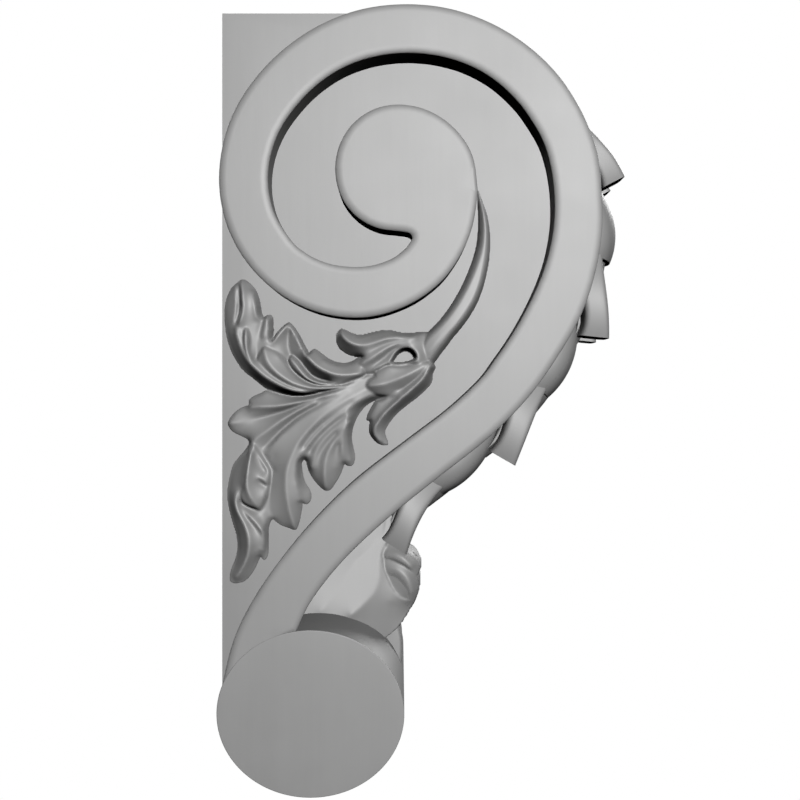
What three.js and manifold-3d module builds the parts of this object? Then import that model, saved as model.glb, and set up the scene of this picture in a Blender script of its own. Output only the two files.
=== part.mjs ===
// A carved scroll corbel for a wall: an S-shaped bracket with a flat back and a flat
// top, a raised scroll band and an acanthus leaf on each side, husks down the front,
// a curled leaf below them and a plain roll at the foot.
// Millimetres. The wall is the plane x = 0, +X points away from it, +Z is up, and
// the origin is in the middle of the back. Both sides mirror each other in y = 0.
import * as THREE from 'three';
import { mergeVertices } from 'three/addons/utils/BufferGeometryUtils.js';
import Module from 'manifold-3d';

// Overall sizes
const height = 356;
const projection = 173.3;
const width = 140;

// Sides
const sideRelief = 17;
const bandEdge = 1.6;
const leafRelief = 11.5;
const stemRelief = 9;
const calyxRelief = 14;
const carvingRoot = 2;
const lobeOverlap = 0.25;

// Husks down the front, measured along the curve of the front
const huskCount = 4;
const huskPitch = 68.2;
const lowestHuskEnd = 53.3;
const podLength = 46;
const podHalfWidth = 25;
const podCrest = 17;
const podShoulder = 11.5;
const podSwell = [0.27, 0.97];
const podTaper = { halfWidth: 0.3, crest: 0.15, shoulder: 0.1 };
const petalLength = 37;
const petalRootSpread = 21;
const petalSpread = 30;
const petalInner = 9;
const petalRootHeight = 8.4;
const petalTipHeight = 20.5;
const petalGap = 8.8;
const petalFlare = 1.7;
const petalFreeFrom = 0.25;
const middlePetalHalfWidth = 10;
const middlePetalHeight = 16;
const middlePetalTipHeight = 19.5;
const middlePetalGap = 12;
const middlePetalExtra = 3;
const petalTuck = 3;

// Section across a pod: place, share of the shoulder height, share of the crest height
const podSection = [
  [-1, 0.8, 0], [-0.85, 1, 0], [-0.4, 0, 0.93], [0, 0, 1], [0.4, 0, 0.93], [0.85, 1, 0], [1, 0.8, 0],
];

// Curled leaf under the husks
const tipLeafHalfWidth = 24;
const tipLeafEdge = 5;
const fingerHalfWidth = 25.5;
const sheathHalfWidth = 17;
const sheathEdge = 2;

// The drawing of the side: x in percent of the projection, z in percent of the height
const at = ([x, z]) => new THREE.Vector2(x * projection / 100, z * height / 100);
const topFront = [[50, 50], [62, 48.4]];
const scrollCentre = [48.1, 28.9];
const scrollReach = [47.6, 20.6];
const rollCentre = [24.3, -39.5];
const rollReach = [24.2, 10.5];

// Edges of the scroll: angle in degrees and share of the scroll's reach
const outerTurn = [
  [345, 0.419], [330, 0.462], [315, 0.527], [300, 0.619], [285, 0.73], [270, 0.849],
  [255, 0.941], [240, 0.995], [225, 1.016], [210, 1.016], [180, 1], [150, 0.976],
  [120, 0.984], [90, 1.005],
];
const frontTurn = [[75, 1.014], [60, 1.013], [45, 1.013], [30, 1.022], [15, 1.04]];
const innerTurn = [
  [0, 0.816], [15, 0.781], [30, 0.759], [60, 0.743], [90, 0.722], [135, 0.697],
  [165, 0.715], [195, 0.746], [210, 0.749], [225, 0.732], [240, 0.684], [255, 0.611],
  [262, 0.565], [269, 0.512],
];
const bandMiddle = 0.87;
const hook = [[273, 0.47], [276, 0.44], [277, 0.415], [274, 0.388]];
const eyeTurn = [
  [255, 0.395], [225, 0.395], [195, 0.37], [165, 0.373], [135, 0.384], [105, 0.403],
  [75, 0.387], [45, 0.378], [15, 0.387], [0, 0.395],
];

// Edges of the S below the scroll, from the scroll down to the roll
const frontEdge = [
  [99.9, 28.9], [100, 26.7], [99.6, 21.2], [97.5, 15.3], [93.7, 10.1], [87.5, 4.9],
  [80, -0.1], [69.7, -5.1], [56.4, -10.2], [43.8, -15.2], [32.9, -20.2], [24.7, -25.2],
  [20.6, -29.2],
];
const bandFoot = [16, -34];
const backEdge = [
  [88, 23.4], [86, 18.7], [81.3, 12.4], [75.4, 7.4], [67.9, 2.4], [59.7, -1.3],
  [49.4, -5.1], [35.8, -10.2], [25.2, -15.2], [16.5, -20.2], [9.5, -25.2], [4.4, -30.3],
  [1.3, -36.3],
];

// Lobes of the side carving: two edges from root to tip, relief at root, middle and
// tip as shares of the lobe's relief, and the section across as place and height
const cupped = [[0, 0.72], [0.14, 0.95], [0.5, 0.55], [0.86, 1], [1, 0.72]];
const ridged = [[0, 0.55], [0.25, 0.75], [0.5, 1], [0.75, 0.8], [1, 0.55]];
const rounded = [[0, 0.3], [0.14, 0.72], [0.5, 1], [0.86, 0.72], [1, 0.3]];
const leafLobes = [
  {
    name: 'tall',
    rise: [0.5, 0.62, 0.42],
    section: [[0, 0.35], [0.22, 0.75], [0.42, 0.8], [0.52, 1.1], [1, 0.95]],
    left: [
      [34.1, 1.7], [27, 0.9], [20.3, 0.2], [12.1, 1], [7.1, 3.1], [3.9, 5.1], [2, 7.3],
      [0.8, 9.8], [0.9, 12.2], [2.5, 14.2], [5.5, 15.5],
    ],
    right: [
      [34.1, 2.3], [27, 1.9], [19.6, 3.2], [13.5, 5.7], [10.8, 7.3], [10.3, 8.9],
      [10.8, 10.7], [10, 12.5], [8.7, 14], [7.1, 14.9], [5.5, 15.5],
    ],
  },
  {
    name: 'tallSide',
    rise: [0.5, 0.45, 0.3],
    section: rounded,
    left: [[20.3, 2.7], [15.6, 4.2], [12.4, 5.8], [10.6, 7.5], [10.4, 9.3], [11.1, 10.6], [12.4, 10.8]],
    right: [[21.7, 3.2], [17.7, 4.5], [14.5, 6.3], [13.5, 7.9], [13.7, 9.5], [13.2, 10.4], [12.4, 10.8]],
  },
  {
    name: 'pointed',
    rise: [0.6, 0.55, 0.45],
    section: cupped,
    left: [[28.3, 2.7], [21.7, 3.9], [17.7, 5.1], [14.8, 6.6], [13.5, 7.9], [15.3, 9.1], [17.7, 9.9]],
    right: [[30.9, 3], [26.2, 3.5], [23.8, 4.6], [22.9, 5.9], [21.1, 7.5], [19.4, 8.9], [17.7, 9.9]],
  },
  {
    name: 'topPetal',
    rise: [0.95, 0.8, 0.55],
    section: ridged,
    left: [[36.2, 3.1], [32.3, 3.1], [29.1, 3.3], [26.2, 4], [24.3, 4.6], [23, 5.4], [23.5, 6.2]],
    right: [[37.8, 4.9], [35.4, 5.1], [32.3, 4.8], [29.3, 4.9], [27, 5.5], [25.4, 6.2], [23.5, 6.2]],
  },
  {
    name: 'innerTongue',
    rise: [0.7, 0.85, 0.7],
    section: rounded,
    left: [[24.3, 1], [16.9, 1.4], [10.8, 3.1], [6.6, 5.3], [5.3, 7.2], [5.3, 8.6], [6.8, 9.7]],
    right: [[24.3, 1.7], [17.7, 2.2], [12.4, 3.6], [8.7, 5], [7.6, 6.4], [8, 8.1], [6.8, 9.7]],
  },
  {
    name: 'middle',
    rise: [0.75, 1, 0.85],
    section: ridged,
    left: [
      [34.1, 1.5], [28.3, 1], [21.9, 1.2], [16.6, 1.9], [12.1, 3.3], [9, 4.9], [9.5, 6], [11.2, 6.9],
    ],
    right: [
      [34.1, 2.3], [28.8, 1.9], [23.8, 2.3], [20.1, 3.5], [17.7, 4.6], [16.1, 5.5], [14, 6.2],
      [11.2, 6.9],
    ],
  },
  {
    name: 'nearTongue',
    rise: [0.6, 0.8, 0.75],
    section: rounded,
    left: [[34.1, 1.8], [28.6, 1.8], [23.5, 2.3], [20.1, 3.5], [17.7, 4.6], [17.6, 5.3], [18.4, 5.6]],
    right: [[35.2, 2.5], [30.9, 2.3], [26.4, 2.5], [23.3, 3.3], [21.1, 4.4], [19.8, 5.1], [18.4, 5.6]],
  },
  {
    name: 'backward',
    rise: [0.85, 0.75, 0.5],
    section: [[0, 0.6], [0.2, 0.95], [0.5, 0.55], [0.8, 1], [1, 0.8]],
    left: [
      [35.7, 2.1], [28.8, 1], [21.7, 0.2], [15.8, 0.6], [11.9, 1], [9, 0.6], [7.1, -0.1],
      [7.1, -0.8], [4.5, -1.4], [2.6, -2.3], [1.7, -3.2],
    ],
    right: [
      [36.2, 1.5], [30.1, 0.2], [23.3, -1], [17.7, -2.5], [13.7, -3.7], [10.3, -4.9],
      [8.2, -5.6], [6.8, -5.1], [4.5, -4.5], [2.5, -3.9], [1.7, -3.2],
    ],
  },
  {
    name: 'long',
    rise: [0.9, 0.8, 0.5],
    section: [[0, 0.35], [0.3, 0.9], [0.55, 0.6], [0.8, 1], [1, 0.7]],
    left: [
      [36.5, 1.7], [29.9, 0.1], [21.9, -1.8], [15.3, -3.7], [10.6, -5.2], [7.2, -5.9],
      [4.5, -7.6], [2.3, -9.8], [1.5, -12.1], [2.2, -14.7], [3.9, -17.9], [3.9, -19.9],
      [2.3, -22.2], [2.2, -23.2], [3.4, -23.7],
    ],
    right: [
      [37.3, 1.4], [32.3, -0.1], [24.8, -2.5], [19.3, -5], [15.8, -7.6], [14, -10.2],
      [13.2, -12.6], [13.2, -14.7], [12.5, -16.2], [12.4, -17.9], [12.4, -19.6],
      [10.3, -20.6], [8.7, -21.9], [6.3, -23.3], [3.4, -23.7],
    ],
  },
  {
    name: 'centre',
    rise: [0.95, 1, 0.55],
    section: [[0, 0.6], [0.3, 0.75], [0.5, 0.7], [0.72, 1], [1, 0.6]],
    left: [
      [37.3, 1.5], [32, 0.1], [24.6, -2.2], [19, -4.8], [15.6, -7.4], [13.7, -10.1],
      [12.9, -12.8], [13.5, -15.5], [15.3, -16.1], [17.2, -16.6], [19.6, -16.9],
    ],
    right: [
      [38.4, 1.2], [34.4, -0.5], [29.3, -3], [25.1, -5.6], [22.2, -7.9], [21.4, -9.4],
      [22.2, -10.8], [23.8, -12.4], [21.4, -13.6], [20.7, -15.3], [19.6, -16.9],
    ],
  },
  {
    name: 'right',
    rise: [0.95, 0.85, 0.5],
    section: cupped,
    left: [
      [38.1, 1.3], [34.4, -0.5], [29.6, -3], [25.4, -5.6], [22.5, -7.7], [23, -9.3],
      [24.6, -10.7], [26.2, -11.5], [28, -11.9],
    ],
    right: [
      [39.9, 0.6], [37.8, -0.7], [35.2, -2.8], [33.3, -5], [32.8, -7], [32.5, -8.4],
      [31.5, -9.9], [29.9, -11.1], [28, -11.9],
    ],
  },
  {
    name: 'rightTongue',
    rise: [0.8, 0.65, 0.45],
    section: rounded,
    left: [[39.4, 0.5], [37, -0.8], [33.9, -3], [32.3, -5], [31.7, -6.8], [32.5, -8], [33.9, -8.6]],
    right: [
      [40.7, -0.4], [38.1, -1.2], [35.6, -2.8], [34.5, -4.5], [34.6, -6.2], [35.2, -7.7], [33.9, -8.6],
    ],
  },
];
const calyxLobes = [
  {
    name: 'calyxTop',
    rise: [0.75, 0.8, 0.6],
    section: [[0, 0.45], [0.3, 1], [0.6, 0.85], [0.85, 0.8], [1, 0.5]],
    left: [
      [53.4, 6.7], [48.1, 6.8], [43.6, 6.4], [39.4, 5.9], [36.2, 5.6], [33.6, 6], [31.3, 7.1],
      [30.5, 8.1], [31.7, 8.9],
    ],
    right: [
      [54.2, 8.5], [49.2, 8.4], [44.2, 8.7], [39.9, 8.5], [36.2, 8.2], [34.4, 8.4],
      [33.1, 8.6], [32.4, 8.8], [31.7, 8.9],
    ],
  },
  {
    name: 'calyxUpper',
    rise: [0.8, 1, 0.85],
    section: rounded,
    left: [
      [53.2, 5], [51.1, 6.3], [48.1, 6.4], [46, 5.8], [44.4, 4.5], [41, 3.4], [38.4, 3.1],
      [36.4, 3.6], [35.6, 4.2],
    ],
    right: [
      [53.2, 6.7], [49.5, 7.2], [45.5, 7], [42.1, 6.3], [39.4, 5.7], [37.6, 5.3],
      [36.5, 4.9], [35.8, 4.6], [35.6, 4.2],
    ],
  },
  {
    name: 'calyxLower',
    rise: [0.8, 1, 0.9],
    section: ridged,
    left: [
      [54.8, 2.7], [50.8, 1.7], [47.9, 0.9], [45.2, 0.4], [42.6, 0.5], [40.2, 0.9],
      [38.6, 1.3], [38.2, 1.9],
    ],
    right: [
      [53.2, 5], [50.3, 4.6], [47.4, 4.3], [44.4, 4.4], [42.3, 4], [41, 3.2], [39.4, 2.6],
      [38.2, 1.9],
    ],
  },
  {
    name: 'calyxLong',
    rise: [0.85, 0.8, 0.55],
    section: [[0, 0.5], [0.25, 0.8], [0.5, 1], [0.8, 0.6], [1, 0.35]],
    left: [
      [54.8, 4.2], [50.5, 2.6], [46.8, 1], [43.6, -0.1], [40.7, -0.7], [39.4, -1.7],
      [38.6, -2.7], [39.3, -4], [40.7, -5.3], [42.6, -5.9], [43.9, -5.8],
    ],
    right: [
      [57.7, 5], [56.1, 4], [55.8, 2.6], [54.2, 1], [51.3, -0.5], [47.9, -1.7],
      [45.2, -3], [43.6, -4.3], [43.4, -4.9], [43.8, -5.4], [43.9, -5.8],
    ],
  },
];
const stem = {
  name: 'stem',
  rise: [1.2, 1, 0.5],
  section: rounded,
  left: [
    [53.2, 6.3], [54.2, 8.5], [56.4, 9.5], [59, 10.9], [61.1, 12.6], [64.6, 15.2],
    [66.9, 18], [68.1, 20.5], [68.4, 23.1], [68.4, 25.3], [68.3, 26.9],
  ],
  right: [
    [55.8, 3.5], [58.2, 5.3], [60.1, 7.1], [63.2, 9], [66.7, 11.3], [69.6, 14.4],
    [71.1, 17.4], [71.6, 20.2], [71.1, 23.1], [69.9, 25.1], [68.3, 26.9],
  ],
};

// Curled leaf and its sheath on the roll
const tipLeafOutline = [
  [52, -9.5], [50.9, -13.4], [46.8, -16.4], [44.6, -18.6], [46.2, -20], [50.4, -21.5],
  [52.2, -23.3], [52, -24.5], [51.2, -26.4], [48.8, -29.3], [44, -31.8], [42.2, -32.6],
];
const tipLeafBack = [[38, -34], [25, -33], [22, -31], [21.5, -25.2], [30, -18], [42, -8.5]];
const fingers = [
  { centre: [47.4, -22.1], length: 10.4, thickness: 5.2, tilt: 28 },
  { centre: [47.2, -24.4], length: 10.4, thickness: 5.6, tilt: 38 },
  { centre: [47.8, -26.6], length: 8.4, thickness: 4.4, tilt: 55 },
];
const sheathOutline = [
  [44, -30], [47.2, -31.6], [48.8, -34.5], [49.4, -36.8], [48.9, -39.5], [40, -40], [38, -34],
];

// Fineness of the facets
const scrollSteps = 3;
const innerSteps = 2;
const bandEdgeSteps = 1;
const rollSteps = 36;
const lobeSteps = 7;
const huskSteps = 6;
const fingerSegments = [14, 10];
const mergeDistance = 1e-4;
const tipShare = 0.965;

const wasm = await Module();
wasm.setup();

// A solid from points and triangles, turned so that its faces point out
function solidFrom(points, triangles) {
  let sixVolumes = 0;
  for (const [a, b, c] of triangles) {
    sixVolumes += points[a].dot(new THREE.Vector3().crossVectors(points[b], points[c]));
  }
  const facing = sixVolumes > 0 ? triangles : triangles.map(([a, b, c]) => [a, c, b]);
  const vertProperties = new Float32Array(points.flatMap((point) => point.toArray()));
  const triVerts = new Uint32Array(facing.flat());
  return new wasm.Manifold(new wasm.Mesh({ numProp: 3, vertProperties, triVerts }));
}

function solidFromGeometry(geometry) {
  const bare = geometry.clone();
  bare.deleteAttribute('normal');
  bare.deleteAttribute('uv');
  const merged = mergeVertices(bare, mergeDistance);
  const position = merged.getAttribute('position');
  const points = Array.from({ length: position.count }, (_, i) => (
    new THREE.Vector3().fromBufferAttribute(position, i)));
  const triangles = [];
  for (let i = 0; i < merged.index.count; i += 3) {
    const corners = [0, 1, 2].map((k) => merged.index.getX(i + k));
    if (new Set(corners).size === 3) {
      triangles.push(corners);
    }
  }
  return solidFrom(points, triangles);
}

// A closed body through rings that have the same number of points
function loft(rings) {
  const size = rings[0].length;
  const lastRing = (rings.length - 1) * size;
  const points = rings.flat();
  const triangles = [];
  for (let i = 0; i < lastRing; i += size) {
    for (let j = 0; j < size; j += 1) {
      const k = (j + 1) % size;
      triangles.push([i + j, i + k, i + k + size], [i + j, i + k + size, i + j + size]);
    }
  }
  const caps = [rings[0], rings.at(-1)].map((ring) => (
    ring.reduce((sum, point) => sum.add(point), new THREE.Vector3()).divideScalar(size)));
  points.push(...caps);
  for (let j = 0; j < size; j += 1) {
    const k = (j + 1) % size;
    triangles.push([points.length - 2, k, j], [points.length - 1, lastRing + j, lastRing + k]);
  }
  return solidFrom(points, triangles);
}

// An outline of the side elevation as a plate centred on y = 0, its edges eased
function plate(outline, thickness, easing = 0) {
  const depth = thickness - 2 * easing;
  const geometry = new THREE.ExtrudeGeometry(new THREE.Shape(outline), {
    depth,
    bevelEnabled: easing > 0,
    bevelThickness: easing,
    bevelSize: easing,
    bevelOffset: -easing,
    bevelSegments: bandEdgeSteps,
  });
  geometry.rotateX(Math.PI / 2);
  geometry.translate(0, depth / 2, 0);
  return solidFromGeometry(geometry);
}

function turnPoint([degrees, share]) {
  const angle = THREE.MathUtils.degToRad(degrees);
  return at([
    scrollCentre[0] + scrollReach[0] * share * Math.cos(angle),
    scrollCentre[1] + scrollReach[1] * share * Math.sin(angle),
  ]);
}

const smooth = (points, steps = scrollSteps) => (
  new THREE.SplineCurve(points).getPoints((points.length - 1) * steps));

// The outer edge runs from the eye around the scroll and down the front
function outerEdgePoints() {
  const turn = outerTurn.map(turnPoint);
  const front = [...frontTurn.map(turnPoint), ...frontEdge.map(at)];
  const points = smooth([...turn, ...front]);
  const split = turn.length * scrollSteps;
  return { turn: points.slice(0, split), front: points.slice(split) };
}

const outer = outerEdgePoints();
const front = new THREE.SplineCurve([...outer.front].reverse());
const frontLength = front.getLength();

function bandOutline() {
  const inner = smooth([
    ...innerTurn.toReversed().map(turnPoint),
    ...backEdge.map(at),
  ], innerSteps).reverse();
  const hookAndEye = smooth([...hook, ...eyeTurn].map(turnPoint), innerSteps);
  return [...inner, ...hookAndEye, ...outer.turn, ...outer.front, at(bandFoot)];
}

// The block behind the band reaches to the middle of the band all along it
function bodyOutline() {
  const underTurn = frontTurn.map(([degrees, share]) => turnPoint([degrees, share * bandMiddle]));
  const underBand = frontEdge.map((point, i) => at(point).lerp(at(backEdge[i]), 0.5));
  const top = topFront.map(at);
  const wall = [new THREE.Vector2(0, at(rollCentre).y), new THREE.Vector2(0, top[0].y)];
  return [...wall, ...top, ...underTurn, ...underBand];
}

function rollOutline() {
  const centre = at(rollCentre);
  const reach = at(rollReach);
  const ellipse = new THREE.EllipseCurve(centre.x, centre.y, reach.x, reach.y);
  return ellipse.getPoints(rollSteps).slice(0, -1);
}

// Relief along a lobe, from its root through its middle to its tip
function reliefAlong([root, middle, tip], u) {
  const half = u < 0.5 ? [root, middle, u * 2] : [middle, tip, u * 2 - 1];
  return THREE.MathUtils.lerp(...half);
}

function lobeSolid({ left, right, section, rise }, relief, side) {
  const leftEdge = new THREE.SplineCurve(left.map(at));
  const rightEdge = new THREE.SplineCurve(right.map(at));
  const face = width / 2 - sideRelief;
  const place = (point, lift) => new THREE.Vector3(point.x, side * (face + lift), point.y);
  const rings = [];
  for (let i = 0; i <= lobeSteps; i += 1) {
    const u = tipShare * i / lobeSteps;
    const a = leftEdge.getPoint(u);
    const b = rightEdge.getPoint(u);
    const overlap = b.clone().sub(a).setLength(lobeOverlap);
    a.sub(overlap);
    b.add(overlap);
    const lift = relief * reliefAlong(rise, u);
    const across = section.map(([share, level]) => place(a.clone().lerp(b, share), lift * level));
    rings.push([place(a, -carvingRoot), ...across, place(b, -carvingRoot)]);
  }
  return loft(rings);
}

function sideCarving(side) {
  return [
    ...leafLobes.map((lobe) => lobeSolid(lobe, leafRelief, side)),
    ...calyxLobes.map((lobe) => lobeSolid(lobe, calyxRelief, side)),
    lobeSolid(stem, stemRelief, side),
  ];
}

// A point over the front: distance up from the roll, across and out from the surface
function onFront(distance, across, lift) {
  const u = THREE.MathUtils.clamp(distance / frontLength, 0, 1);
  const point = front.getPointAt(u);
  const along = front.getTangentAt(u);
  return new THREE.Vector3(point.x + along.y * lift, across, point.y - along.x * lift);
}

function pod(rootDistance) {
  const rings = [];
  for (let i = 0; i <= huskSteps; i += 1) {
    const share = i / huskSteps;
    const swell = Math.sin(Math.PI * THREE.MathUtils.lerp(...podSwell, share));
    const halfWidth = podHalfWidth * THREE.MathUtils.lerp(podTaper.halfWidth, 1, swell);
    const crest = podCrest * THREE.MathUtils.lerp(podTaper.crest, 1, swell);
    const shoulder = podShoulder * THREE.MathUtils.lerp(podTaper.shoulder, 1, swell);
    const distance = rootDistance + podLength * share;
    const top = podSection.map(([across, shoulderShare, crestShare]) => (
      [across, shoulder * shoulderShare + crest * crestShare]));
    rings.push([[-1, -carvingRoot], ...top, [1, -carvingRoot]].map(
      ([across, lift]) => onFront(distance, across * halfWidth, lift)));
  }
  return loft(rings);
}

// A flared petal: its foot lies on the front and its end stands clear of it
function petal(tipDistance, length, acrossAt, top, gap) {
  const rings = [];
  for (let i = 0; i <= huskSteps; i += 1) {
    const share = i / huskSteps;
    const [inner, outerSide] = acrossAt(share);
    const free = THREE.MathUtils.smoothstep(share, petalFreeFrom, 1);
    const upper = THREE.MathUtils.lerp(top[0], top[1], share ** petalFlare);
    const lower = THREE.MathUtils.lerp(-carvingRoot, gap, free);
    const distance = tipDistance + (length + petalTuck) * (1 - share);
    rings.push([[inner, lower], [inner, upper], [outerSide, upper], [outerSide, lower]].map(
      ([across, lift]) => onFront(distance, across, lift)));
  }
  return loft(rings);
}

function husk(tipDistance) {
  const heights = [petalRootHeight, petalTipHeight];
  const sides = [-1, 1].map((side) => petal(tipDistance, petalLength, (share) => [
    side * petalInner,
    side * THREE.MathUtils.lerp(petalRootSpread, petalSpread, share),
  ], heights, petalGap));
  const middle = petal(
    tipDistance - middlePetalExtra,
    petalLength + middlePetalExtra,
    () => [-middlePetalHalfWidth, middlePetalHalfWidth],
    [middlePetalHeight, middlePetalTipHeight],
    middlePetalGap,
  );
  return [pod(tipDistance + petalLength), ...sides, middle];
}

function tipLeaf() {
  const leaf = plate([...tipLeafOutline, ...tipLeafBack].map(at), 2 * tipLeafHalfWidth, tipLeafEdge);
  const rolls = fingers.map(({ centre, length, thickness, tilt }) => {
    const geometry = new THREE.SphereGeometry(1, ...fingerSegments);
    geometry.scale(length, fingerHalfWidth, thickness);
    geometry.rotateY(THREE.MathUtils.degToRad(tilt));
    const { x, y } = at(centre);
    geometry.translate(x, 0, y);
    return solidFromGeometry(geometry);
  });
  const sheath = plate(sheathOutline.map(at), 2 * sheathHalfWidth, sheathEdge);
  return [leaf, ...rolls, sheath];
}

const husks = Array.from({ length: huskCount }, (_, i) => husk(lowestHuskEnd + huskPitch * i)).flat();
const solids = [
  plate(bodyOutline(), width - 2 * sideRelief),
  plate(bandOutline(), width, bandEdge),
  plate(rollOutline(), width, bandEdge),
  ...sideCarving(-1),
  ...sideCarving(1),
  ...husks,
  ...tipLeaf(),
];
const joined = solids.reduce((whole, solid) => whole.add(solid));
// Overlapping lobes can enclose specks of air: only the outer shell is kept
const shells = joined.decompose();
const carved = shells.reduce((largest, shell) => (
  shell.volume() > largest.volume() ? shell : largest));
const { vertProperties, triVerts } = carved.getMesh();
const geometry = new THREE.BufferGeometry();
geometry.setAttribute('position', new THREE.BufferAttribute(vertProperties, 3));
geometry.setIndex(new THREE.BufferAttribute(triVerts, 1));
geometry.computeVertexNormals();
const wood = new THREE.MeshStandardMaterial({ color: 0xa9a9a8, roughness: 0.6, metalness: 0 });
const corbel = new THREE.Mesh(geometry, wood);
corbel.name = 'corbel';

const bracket = new THREE.Group();
bracket.add(corbel);

export default bracket;
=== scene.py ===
import math

import bpy
import numpy as np
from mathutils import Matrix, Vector
from mathutils.geometry import delaunay_2d_cdt


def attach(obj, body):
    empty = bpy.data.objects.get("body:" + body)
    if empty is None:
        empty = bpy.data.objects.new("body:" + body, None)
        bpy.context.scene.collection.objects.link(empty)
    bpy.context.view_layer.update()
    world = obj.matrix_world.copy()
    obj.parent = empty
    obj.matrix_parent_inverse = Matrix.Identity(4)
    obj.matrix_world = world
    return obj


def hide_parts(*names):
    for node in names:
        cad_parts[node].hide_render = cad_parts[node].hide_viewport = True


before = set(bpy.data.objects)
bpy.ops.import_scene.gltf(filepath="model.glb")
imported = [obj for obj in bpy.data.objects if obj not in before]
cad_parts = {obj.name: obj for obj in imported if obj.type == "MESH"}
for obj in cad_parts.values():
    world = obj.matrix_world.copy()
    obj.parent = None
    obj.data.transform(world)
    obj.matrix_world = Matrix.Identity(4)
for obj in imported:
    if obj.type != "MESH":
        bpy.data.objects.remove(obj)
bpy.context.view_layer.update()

# The wall is the plane x = 0, +X points away from it, +Z is up, y = 0 is the middle.
# The side is drawn in percent: x of the projection, z of the height.
bracket = {
    "height": 0.356,
    "projection": 0.1733,
    "width": 0.140,
    "sideRelief": 0.017,     # how deep the carved sides lie behind the rim of the scroll
    "rimFallWidth": 0.0036,  # how far in from its edges the rim falls off
    "rimFall": 0.0016,
    "rimFacet": 0.004,       # size of the facets on its flat face
    "blockRounding": 0.0006,
    "blockFacet": 0.012,
    "rollProud": 0.0002,     # how far the roll stands out past the rim
    "rollRounding": 0.0004,
    "rollFacet": 0.008,
}
rimFace = bracket["width"] / 2
fieldFace = rimFace - bracket["sideRelief"]


def drawn(points):
    scale = np.array([bracket["projection"], bracket["height"]]) / 100
    return np.array(points, float) * scale


def spline(points, count=None, at=None):
    # smooth line through the points, the same number of steps between each two
    p = np.asarray(points, float)
    t = np.linspace(0, 1, count) if at is None else np.asarray(at, float)
    s = t * (len(p) - 1)
    i = np.clip(np.floor(s).astype(int), 0, len(p) - 2)
    w = (s - i)[:, None]
    p0, p1 = p[np.maximum(i - 1, 0)], p[i]
    p2, p3 = p[i + 1], p[np.minimum(i + 2, len(p) - 1)]
    m1, m2 = (p2 - p0) / 2, (p3 - p1) / 2
    return ((2 * p1 - 2 * p2 + m1 + m2) * w**3
            + (-3 * p1 + 3 * p2 - 2 * m1 - m2) * w**2 + m1 * w + p1)


def evenly(points, count, closed=False):
    # the same line with points at equal distances
    p = np.vstack([points, points[:1]]) if closed else np.asarray(points)
    reach = np.r_[0, np.cumsum(np.linalg.norm(np.diff(p, axis=0), axis=1))]
    where = np.linspace(0, reach[-1], count + 1 if closed else count)
    line = np.stack([np.interp(where, reach, p[:, k]) for k in range(p.shape[1])], 1)
    return line[:-1] if closed else line


def blendOf(a, b, t):
    return a + (b - a) * t


def ease(t):
    t = np.clip(t, 0, 1)
    return t * t * (3 - 2 * t)


def distanceInside(outline, x, y):
    # how far each place lies inside a closed outline, less than zero outside
    nearest = np.full(np.shape(x), 1e9)
    inside = np.zeros(np.shape(x), bool)
    for (ax, ay), (bx, by) in zip(outline, np.roll(outline, -1, 0)):
        dx, dy = bx - ax, by - ay
        t = np.clip(((x - ax) * dx + (y - ay) * dy) / (dx * dx + dy * dy + 1e-18), 0, 1)
        nearest = np.minimum(nearest, (x - ax - t * dx) ** 2 + (y - ay - t * dy) ** 2)
        if dy:
            inside ^= ((ay > y) != (by > y)) & (x < ax + (y - ay) * dx / dy)
    return np.where(inside, 1, -1) * np.sqrt(nearest)


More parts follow.
